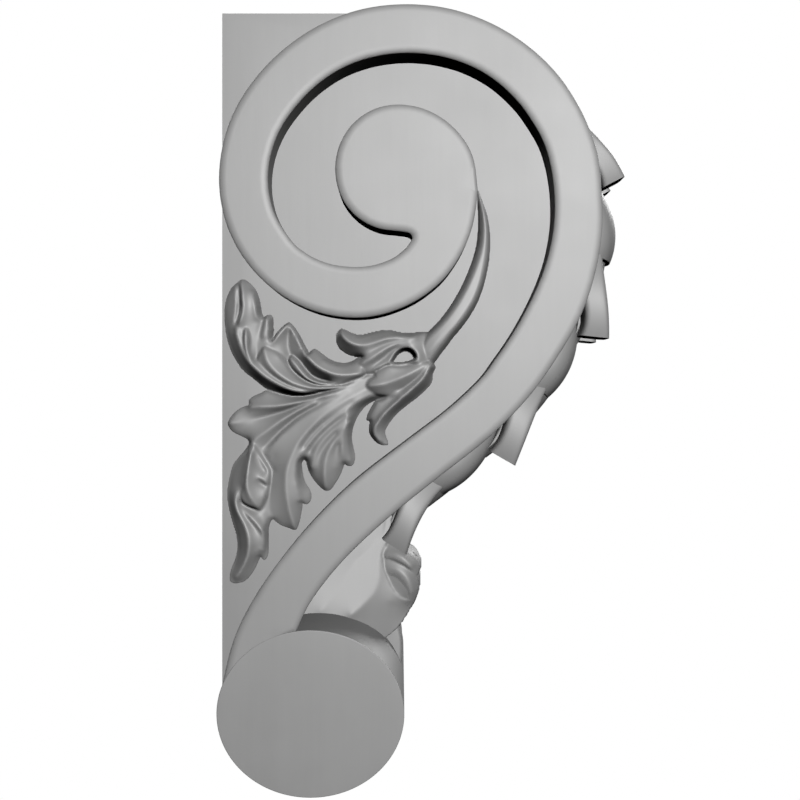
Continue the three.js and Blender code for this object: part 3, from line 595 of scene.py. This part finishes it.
carvedLayers["calyxUpper"] = dict(depth=1.5, upright=0.6, edge=[
    (343, 329.5, 5), (349, 331.5, 5), (355, 334, 5), (362, 335.5, 5.5), (370, 334, 5.5), (380, 331.5, 5.5),
    (390, 330.5, 6), (400, 332.5, 6.5), (410, 334, 7), (420, 333, 7), (427, 332.5, 7), (433, 336, 7.5),
    (438, 342, 8), (439, 350, 8), (436, 358, 7.5), (433.5, 364, 8), (432, 371, 11), (424, 368, 12.5),
    (413, 364.5, 11.8), (403, 366.3, 11.2), (391, 365.5, 10.8), (383, 368.7, 10), (379, 371.3, 9.4),
    (384, 373.3, 9.2), (384.5, 375.6, 8.6), (378, 374.2, 7.6), (372, 375, 7), (366, 374.5, 7),
    (361, 371.5, 7), (357.5, 368, 7), (358, 364, 7.4), (361, 360.5, 8), (364, 357, 7), (358, 355.7, 4.5),
    (352, 354.5, 3.5), (346, 351.5, 3), (341, 347, 3), (338.5, 341, 3), (339, 335, 4),
], lines=[
    [(343, 331.5, 7), (345.5, 336.5, 9), (350, 341, 10), (357, 344.5, 10.6), (365, 345, 10.8),
     (372, 343.5, 11), (380, 341, 11.4), (388, 338.5, 11.7), (398, 337, 12), (410, 336.3, 12),
     (418, 337.5, 11.6)],
    [(363, 363, 9.6), (372, 359.5, 11), (380, 354, 11.5), (388, 349, 11.8), (397, 345, 12.1),
     (405, 343, 12.4), (413, 342.5, 12.8)],
    [(370, 352.5, 10), (380, 347.5, 10.2), (388, 343.8, 10.6), (398, 341, 11.2), (408, 339.5, 11.8)],
    [(363, 368, 8.4), (372, 366, 8.8), (380, 362, 8.8), (387, 356.5, 9.2), (393, 351, 9.8),
     (400, 347.3, 10.6)],
    [(379, 370.2, 10.2), (385, 366.8, 10.8), (390, 363.5, 10.8), (392.5, 358.5, 10.8), (397, 352.5, 11.2),
     (403.5, 347.5, 11.8), (410, 346.5, 12.4), (417, 349, 13), (421, 355, 13.3), (420.5, 361, 13.2),
     (414, 365, 12.6)],
], hole=[
    (392, 364), (393.5, 359.5), (397, 354), (401, 350.5), (405, 348.7), (409, 348.5), (413, 349.8),
    (416.5, 353), (418.3, 357), (418, 360), (416, 362), (413, 363.3), (408, 364.6), (402, 365.3),
    (396, 365.3),
])
carvedLayers["stem"] = dict(depth=1, shoulder=3.1, upright=0.06, edge=[
    (421, 345, 10.2), (426, 336, 10.6), (434.5, 327.5, 11.4), (442.5, 319, 11.8), (450, 309.5, 11.8),
    (457, 299, 11.5), (463, 288.5, 11.2), (468, 278.5, 11), (472.4, 268, 10.6), (476, 258, 10.2),
    (478.8, 248.5, 9.8), (480.5, 240, 9.5), (481.5, 230, 9.2), (481.8, 220, 8.8), (481.5, 210, 8),
    (480.8, 200, 6.5), (480.5, 190, 4.5), (481, 188.5, 4.5), (483.5, 195, 5.5), (487, 204, 7),
    (490, 212, 8), (491.8, 220, 8.8), (493.3, 231, 9.2), (493.5, 242, 9.5), (493, 253, 9.9),
    (491.5, 264, 10.3), (489, 276, 10.8), (486, 287, 11.2), (481, 300, 11.6), (475, 311, 12),
    (469, 320, 12.3), (462, 329, 12.6), (456, 336, 12.4), (449.5, 345, 11.6), (444, 352, 11),
    (439, 359, 10.4), (434, 364.5, 9.8), (427, 364, 9.8), (422, 357, 10),
], lines=[
    [(430, 353, 11.4), (438, 343, 12.4), (452, 326, 12.5), (463, 310, 12.1), (473, 293, 11.4),
     (480, 276, 10.8), (484.5, 262, 10.3), (487, 249, 9.8)],
])


def closedSpline(points, steps):
    # the points before and after the join carry the line round smoothly
    p = np.asarray(points, float)
    count, before, after = len(p), 2, 3
    at = (before + np.arange(count * steps) / steps) / (count + before + after - 1)
    return spline(np.vstack([p[-before:], p, p[:after]]), at=at)


def smoothed(height, share, passes):
    for _ in range(passes):
        total, weight = height * share, share
        for step in ((1, 0), (-1, 0), (0, 1), (0, -1)):
            total = total + np.roll(height * share, step, (0, 1))
            weight = weight + np.roll(share, step, (0, 1))
        height = np.where(share > 0, total / np.maximum(weight, 1e-9), height)
    return height


def layRelief(layer, x, z, c):
    # the heights of one layer, with its own sizes where it has them
    c = {**c, **layer}
    cell = c["cell"]
    edge = closedSpline(layer["edge"], skin["edgeSteps"])
    inside = distanceInside(edge[:, :2], x, z)
    total, weight = np.zeros(x.shape), np.zeros(x.shape)
    drawnLines = [(np.vstack([edge, edge[:1]]), 1)]
    for line in layer["lines"]:
        drawnLines.append((spline(line, len(line) * skin["lineSteps"]), skin["lineWeight"]))
    for line, strength in drawnLines:
        reach = np.linalg.norm(np.diff(line[:, :2], axis=0), axis=1).sum()
        line = evenly(line, int(reach / cell * skin["cellSteps"]) + 2)
        i = np.clip(np.rint((line[:, 1] - z[0, 0]) / cell).astype(int), 0, x.shape[0] - 1)
        j = np.clip(np.rint((line[:, 0] - x[0, 0]) / cell).astype(int), 0, x.shape[1] - 1)
        np.add.at(total, (i, j), line[:, 2] * strength)
        np.add.at(weight, (i, j), strength)
    height = np.where(weight > 0, total / np.maximum(weight, 1e-9), total.sum() / weight.sum())
    share = (inside > -skin["border"] * cell).astype(float)
    free = (share > 0) & (weight == 0)
    free[[0, -1], :] = False
    free[:, [0, -1]] = False
    i, j = np.nonzero(free)
    halves = [(i[(i + j) % 2 == k], j[(i + j) % 2 == k]) for k in (0, 1)]
    for _ in range(skin["passes"]):
        for a, b in halves:
            near = [(a - 1, b), (a + 1, b), (a, b - 1), (a, b + 1)]
            held = np.maximum(sum(share[n] for n in near), 1)
            level = sum(share[n] * height[n] for n in near) / held
            height[a, b] += skin["pull"] * (level - height[a, b])
    broad = smoothed(height, share, c["broadForm"])
    height = smoothed(broad + c["depth"] * (height - broad), share, c["softness"])
    s = np.clip(1 - inside / c["shoulder"], 0, 1)
    full = blendOf(c["upright"], 1, np.sqrt(np.maximum(1 - s * s, 0)))
    fallen = height * c["upright"] + inside * c["fall"]
    height = np.where(inside > 0, height * full, fallen)
    height = np.where(share > 0, height, np.minimum(height, 0))
    height = np.where(inside > -skin["fallBorder"] * cell, height, -c["root"])
    return np.clip(height, -c["root"], c["highest"])


def carve(layers, c):
    # the whole relief: its places, its heights and the faces of a closed shell from two skins
    layers = {name: {
        **layer,
        "edge": fromDrawing(layer["edge"], c["face"]),
        "lines": [fromDrawing(line, c["face"]) for line in layer["lines"]],
        "hole": fromDrawing(layer["hole"], c["face"]) if "hole" in layer else None,
    } for name, layer in layers.items()}
    cell = c["cell"]
    corners = np.vstack([layer["edge"][:, :2] for layer in layers.values()])
    (x0, z0), (x1, z1) = corners.min(0) - 3 * cell, corners.max(0) + 3 * cell
    x, z = np.meshgrid(np.arange(x0, x1, cell), np.arange(z0, z1, cell))
    height = np.full(x.shape, -c["root"])
    before, after = 4, 6   # facets round a layer that it is laid over
    for name, layer in layers.items():
        e = layer["edge"][:, :2]
        j0, i0 = np.maximum((e.min(0) - (x0, z0)) / cell - before, 0).astype(int)
        j1, i1 = ((e.max(0) - (x0, z0)) / cell + after).astype(int)
        part = np.s_[i0:i1, j0:j1]
        height[part] = np.maximum(height[part], layRelief(layer, x[part], z[part], c))
        if layer["hole"] is not None:
            hole = closedSpline(layer["hole"], skin["edgeSteps"])
            inside = distanceInside(hole, x[part], z[part])
            wall = np.maximum(c["highest"] - c["holeWall"] * inside, c["holeFloor"])
            height[part] = np.minimum(height[part], np.where(inside > 0, wall, c["highest"]))
        print("carved", name)
    laid = skin["laid"] - c["root"]
    height = smoothed(height, (height > max(0, laid)).astype(float), c["blending"])
    kept = height > laid
    quads = kept[:-1, :-1] | kept[1:, :-1] | kept[:-1, 1:] | kept[1:, 1:]
    i, j = np.nonzero(quads)
    corner = [(i, j), (i, j + 1), (i + 1, j + 1), (i + 1, j)]
    number = np.full(x.shape, -1)
    for a, b in corner:
        number[a, b] = 0
    used = number == 0
    count = int(used.sum())
    number[used] = np.arange(count)
    top = np.stack([number[a, b] for a, b in corner], 1)
    walls = []
    for k, (di, dj) in enumerate([(-1, 0), (0, 1), (1, 0), (0, -1)]):
        side = top[~np.pad(quads, 1)[i + 1 + di, j + 1 + dj]]
        a, b = side[:, k], side[:, (k + 1) % 4]
        walls.append(np.stack([b, a, a + count, b + count], 1))
    faces = np.vstack([top, top[:, ::-1] + count, *walls])
    return x[used] / 1000, z[used] / 1000, height[used] / 1000, faces


def makeCarvedSides():
    x, z, height, faces = carve(carvedLayers, carving)
    back = fieldFace - (carving["root"] + carving["backing"]) / 1000
    for side, which in ((-1, "right"), (1, "left")):
        leaf = Shells()
        leaf.points = np.vstack([
            np.stack([x, side * (fieldFace + height), z], 1),
            np.stack([x, np.full(len(x), side * back), z], 1)]).tolist()
        leaf.faces = (faces if side < 0 else faces[:, ::-1]).tolist()
        leaf.piece("carved_leaf_" + which, wood, crease=180)


makeCarvedSides()

# Husks down the front, measured along the curve of the front from the foot up
husks = {
    "count": 4,
    "pitch": 0.0682,
    "lowestEnd": 0.0533,
    "podLength": 0.046,
    "podHalfWidth": 0.025,
    "podCrest": 0.0155,
    "podShoulder": 0.0098,
    "podSwell": (0.34, 0.97),        # the part of a half wave that its lengthways bulge follows
    "podEnds": (0.3, 0.15, 0.1),     # shares of half width, crest and shoulder where it starts
    "podSquareness": 10,
    "podFacets": (31, 29),           # across and along
    "petalLength": 0.037,
    "petalInner": 0.009,
    "petalRootSpread": 0.021,
    "petalSpread": 0.030,
    "petalTurn": 2.4,      # past a quarter turn the sides of a petal come in again
    "petalHeights": (0.0092, 0.0225),
    "petalGap": 0.0088,
    "petalFlare": 1.6,
    "petalSlant": 0.004,   # how much sooner a petal ends on its outside
    "petalFreeFrom": 0.25,  # share of its length where its underside leaves the front
    "petalRoundness": 0.35,
    "petalFacets": (40, 25),
    "petalTwist": 0.04,    # turns the facets off its corners
    "middleHalfWidth": 0.015,
    "middleHeights": (0.0157, 0.0137),
    "middleGap": 0.008,
    "middleRoof": 0.006,   # how much its sides fall from its ridge
    "middleExtra": 0.003,
    "petalShares": (1, 1, 1, 0.92),  # heights of the petals and pods from the foot up
    "podShares": (0.95, 1, 1.18, 1),
    "tuck": 0.003,
    "root": 0.002,
}
frontEven = evenly(frontLine, 1201)
frontReach = np.linalg.norm(np.diff(frontEven, axis=0), axis=1).sum()


def onFront(distance, across, lift):
    # a place over the front: up from the foot, across, and out from the surface
    before, after = 3, 4   # steps of the line each way that give its direction
    s = np.clip(np.asarray(distance, float) / frontReach, 0, 1) * (len(frontEven) - 1)
    i = np.clip(s.astype(int), before, len(frontEven) - after - 1)
    p = frontEven[i] + (frontEven[i + 1] - frontEven[i]) * (s - i)[..., None]
    along = frontEven[i + after] - frontEven[i - before]
    along /= np.linalg.norm(along, axis=-1)[..., None]
    lift = np.asarray(lift, float)
    x = p[..., 0] + along[..., 1] * lift
    z = p[..., 1] - along[..., 0] * lift
    return np.stack([x, across + 0 * lift, z], -1)


def makePod(shells, rootDistance, proud):
    h = husks
    acrossCount, alongCount = h["podFacets"]
    t = np.sin(np.linspace(-1, 1, acrossCount) * math.pi / 2)
    rings = []
    for share in np.linspace(0, 1, alongCount):
        swell = math.sin(math.pi * blendOf(*h["podSwell"], share))
        halfShare, crestShare, shoulderShare = (blendOf(end, 1, swell) for end in h["podEnds"])
        half = h["podHalfWidth"] * halfShare
        crest = h["podCrest"] * proud * crestShare
        shoulder = h["podShoulder"] * shoulderShare
        boxed = (1 - np.abs(t) ** h["podSquareness"]) ** 0.5
        lift = shoulder * boxed + (crest - shoulder) * (1 - t * t)
        across = np.r_[-half, t * half, half]
        lift = np.r_[-h["root"], lift, -h["root"]]
        rings.append(onFront(np.full(len(lift), rootDistance + h["podLength"] * share), across, lift))
    shells.rings(rings)


def makePetal(shells, tipDistance, length, sides, heights, gap, roof=0, slant=0):
    h = husks
    roundCount, alongCount = h["petalFacets"]
    turn = np.linspace(0, 2 * math.pi, roundCount + 1)[:-1] + h["petalTwist"]
    box = np.stack([np.cos(turn), np.sin(turn)], 1)
    box = np.sign(box) * np.abs(box) ** h["petalRoundness"]
    rings = []
    for share in np.linspace(0, 1, alongCount):
        inner, outer = sides(share)
        upper = blendOf(*heights, share ** h["petalFlare"])
        freed = (share - h["petalFreeFrom"]) / (1 - h["petalFreeFrom"])
        lower = blendOf(-h["root"], gap, ease(freed))
        across = (inner + outer) / 2 + box[:, 0] * (outer - inner) / 2
        top = upper - roof * np.abs(box[:, 0])
        lift = (lower + top) / 2 + box[:, 1] * (top - lower) / 2
        distance = tipDistance + (length + h["tuck"]) * (1 - share)
        rings.append(onFront(distance + slant * share * (box[:, 1] + 1) / 2, across, lift))
    shells.rings(rings)


def makeHusks():
    h = husks
    chain = Shells()
    for k in range(h["count"]):
        tip = h["lowestEnd"] + h["pitch"] * k
        makePod(chain, tip + h["petalLength"], h["podShares"][k])
        heights, middleHeights = (
            np.array(h[key]) * h["petalShares"][k] for key in ("petalHeights", "middleHeights"))
        for side in (-1, 1):
            def sides(share, side=side):
                bulge = math.sin(share * h["petalTurn"])
                spread = blendOf(h["petalRootSpread"], h["petalSpread"], bulge)
                return side * h["petalInner"], side * spread

            makePetal(chain, tip, h["petalLength"], sides, heights, h["petalGap"],
                      slant=h["petalSlant"])
        makePetal(
            chain, tip - h["middleExtra"], h["petalLength"] + h["middleExtra"],
            lambda share: (-h["middleHalfWidth"], h["middleHalfWidth"]),
            middleHeights, h["middleGap"], h["middleRoof"])
    chain.piece("husks", wood)


makeHusks()

# The curled leaf under the husks, the same on both sides: heights are from the middle, in mm
tipLeaf = {
    "face": rimFace * 1000,
    "cell": 0.5,
    "depth": 1.0,
    "broadForm": 10,
    "softness": 5,
    "blending": 1,
    "shoulder": 4.0,
    "upright": 0.45,
    "fall": 30.0,
    "root": -0.3,
    "highest": 32,
    "sheath": [
        (44, -30), (46.6, -31.2), (47.7, -32.8), (48, -34.5), (47.8, -36.5), (47.3, -38.6), (46.5, -39.6),
        (40, -40), (38, -34)],
    "sheathHalfWidth": 0.017,
    "sheathRounding": 0.002,
    "sheathPoints": 120,
    "sheathFacet": 0.004,
}
# its edge where it meets the front, and where it meets the roll
tipLeafBack = [
    (300, 642, 31), (302, 600, 29.5), (318, 575, 27), (340, 545, 23), (365, 520, 18.5), (385, 500, 15),
    (396, 500, 14.5)]
tipLeafFoot = [
    (412.5, 609.5, 15.4), (402, 626, 17.6), (390, 637, 19.2), (380, 642, 21), (360, 642, 25),
    (345, 642, 29), (325, 642, 31)]
tipLeafLayers = {}
tipLeafLayers["body"] = dict(edge=[
    *tipLeafBack, (394, 520, 16), (393, 540, 17.5), (400, 544, 18), (410, 550, 18.5), (418, 557, 18.2),
    (422.6, 565.7, 17.8), (421.6, 573, 17.4), (419.5, 577, 17.2), (420.5, 590, 17), (418, 599, 16),
    *tipLeafFoot,
], lines=[
    [(391, 573, 21), (398, 577, 22), (405, 583, 22.4), (410, 591, 21.8), (412, 600, 19.4)],
    [(386, 566, 20.2), (388.5, 577, 20.6), (394, 588, 20.8), (401, 596.5, 20.6)],
])
tipLeafLayers["secondFinger"] = dict(shoulder=2.2, upright=0.95, edge=[
    (384, 562, 19.8), (388, 556, 20), (397, 557, 21), (406, 561, 21.6), (414, 567, 20.8), (420.8, 576, 18),
    (421, 590, 17.6), (418, 600, 16.4), (413, 608, 15), (411, 602, 19.4), (411.4, 596, 22),
    (408.6, 588.8, 22.9), (402.9, 582, 22.8), (395.7, 577, 22), (388.6, 575, 20.9), (385, 569, 20.4),
], lines=[
    [(390, 568, 21.4), (398, 569.5, 23.2), (406, 574.5, 24), (412, 582, 23.6), (415, 592, 21.6)],
])
tipLeafLayers["firstFinger"] = dict(shoulder=2.2, upright=0.95, edge=[
    (383.5, 557, 19.6), (386, 548, 18.4), (392, 541, 17), (401, 544.5, 18), (411.4, 551, 18.6),
    (418.6, 557, 18.2), (422.8, 565.7, 17.8), (421.6, 572.5, 17.8), (418.6, 576, 20), (411.4, 569.4, 23.4),
    (402.9, 563.8, 23.8), (394.3, 560, 22.4),
], lines=[
    [(389, 553, 20.6), (398, 554, 22.8), (407, 558.5, 24.2), (414.5, 566, 23.6)],
])
tipLeafLayers["sheet"] = dict(shoulder=0.8, upright=0.985, edge=[
    *tipLeafBack, (394.5, 520, 16), (392, 535, 17.6), (389.3, 543, 18.4), (385, 551.4, 19.6),
    (384.6, 557, 20.2), (386.4, 567, 20.9), (389.3, 576.4, 21.3), (395, 588.6, 21.5), (400, 595, 21.2),
    (405, 598.5, 20.6), (411, 600, 19.8), (417, 601, 16.4), *tipLeafFoot,
], lines=[
    [(322, 612, 30), (338, 592, 27), (352, 570, 23.6), (370, 542, 19.4)],
    [(391, 510, 15.2), (388.5, 530, 17), (384, 548, 19.6), (381.5, 562, 21.4), (381, 578, 23),
     (376, 592, 24.6), (366, 604, 26.6), (352, 616, 28.8)],
    [(392, 600, 22), (398, 608, 19.6)],
])


def makeTipLeaf():
    x, z, height, faces = carve(tipLeafLayers, tipLeaf)
    shells = Shells()
    shells.points = np.vstack([np.stack([x, -height, z], 1), np.stack([x, height, z], 1)]).tolist()
    shells.faces = faces.tolist()
    sheathLine = spline(drawn(tipLeaf["sheath"] + tipLeaf["sheath"][:1]), 141)
    sheath = evenly(sheathLine, tipLeaf["sheathPoints"], closed=True)
    rounding = tipLeaf["sheathRounding"]
    shells.plate(sheath, tipLeaf["sheathHalfWidth"], rounding, rounding,
                 rows=4, spacing=tipLeaf["sheathFacet"])
    shells.piece("curled_leaf", wood, crease=60)


makeTipLeaf()

studio = {
    "cameraPlace": (0.0821, -0.5655, -0.0005),   # straight at the side, as in the photograph
    "lens": 50,
    "keyPlace": (0.17, -0.62, 0.18),
    "keyPower": 0.98,
    "keySize": 0.12,
    "frontPlace": (0.6, -2.2, 0.6),
    "frontPower": 28,
    "frontSize": 0.5,
    "rearPlaces": [(0.9, 1.3, 0.8), (-0.8, 1.3, 0.5)],
    "rearPower": 14,
    "rearSize": 0.7,
    "ambient": 0.0,
    "bowl": [(2.5, -1.2), (3.6, -0.9), (4.2, 0), (4.2, 2), (3, 4), (0.5, 5)],  # radius, height
    "bowlSides": 64,
}


def addSoftbox(name, place, power, size, aim=(0.09, 0, 0)):
    data = bpy.data.lights.new(name, "AREA")
    data.shape = "DISK"
    data.size = size
    data.energy = power
    lamp = bpy.data.objects.new(name, data)
    lamp.location = place
    lamp.rotation_mode = "QUATERNION"
    lamp.rotation_quaternion = (Vector(aim) - Vector(place)).to_track_quat("-Z", "Y")
    bpy.context.scene.collection.objects.link(lamp)
    return data


def makeStudio(s):
    scene = bpy.context.scene
    data = bpy.data.cameras.new("camera")
    data.lens = s["lens"]
    camera = bpy.data.objects.new("camera", data)
    camera.location = s["cameraPlace"]
    camera.rotation_euler = (math.pi / 2, 0, 0)
    scene.collection.objects.link(camera)
    scene.camera = camera
    scene.view_settings.view_transform = "Standard"

    key = addSoftbox("key", s["keyPlace"], s["keyPower"], s["keySize"])
    key.use_shadow = False
    front = addSoftbox("front", s["frontPlace"], s["frontPower"], s["frontSize"])
    front.use_shadow = False
    for k, place in enumerate(s["rearPlaces"]):
        addSoftbox("rear" + str(k), place, s["rearPower"], s["rearSize"])

    world = bpy.data.worlds.new("studio")
    world.use_nodes = True
    background = world.node_tree.nodes["Background"]
    background.inputs["Color"].default_value = (1, 1, 1, 1)
    background.inputs["Strength"].default_value = s["ambient"]
    scene.world = world

    # one white bowl is the floor and the backdrop
    bowl = bpy.data.meshes.new("backdrop")
    count = s["bowlSides"]
    turns = np.linspace(0, 2 * math.pi, count + 1)[:-1]
    points = [(r * math.cos(t), r * math.sin(t), z) for r, z in s["bowl"] for t in turns]
    top = len(points) - count
    faces = []
    for row in range(0, top, count):
        for j in range(count):
            k = (j + 1) % count
            faces.append((row + j, row + k, row + count + k, row + count + j))
    faces += [tuple(range(count)), tuple(range(top, top + count))]
    bowl.from_pydata(points, [], faces)
    n = Nodes("whitePaper")
    glow = n.node("ShaderNodeEmission", values={"Color": (1, 1, 1, 1), "Strength": 1.0})
    bowl.materials.append(n.finish(glow))
    backdrop = bpy.data.objects.new("backdrop", bowl)
    backdrop.visible_diffuse = False
    backdrop.visible_glossy = False
    backdrop.visible_shadow = False
    scene.collection.objects.link(backdrop)


makeStudio(studio)
print("studio ready")
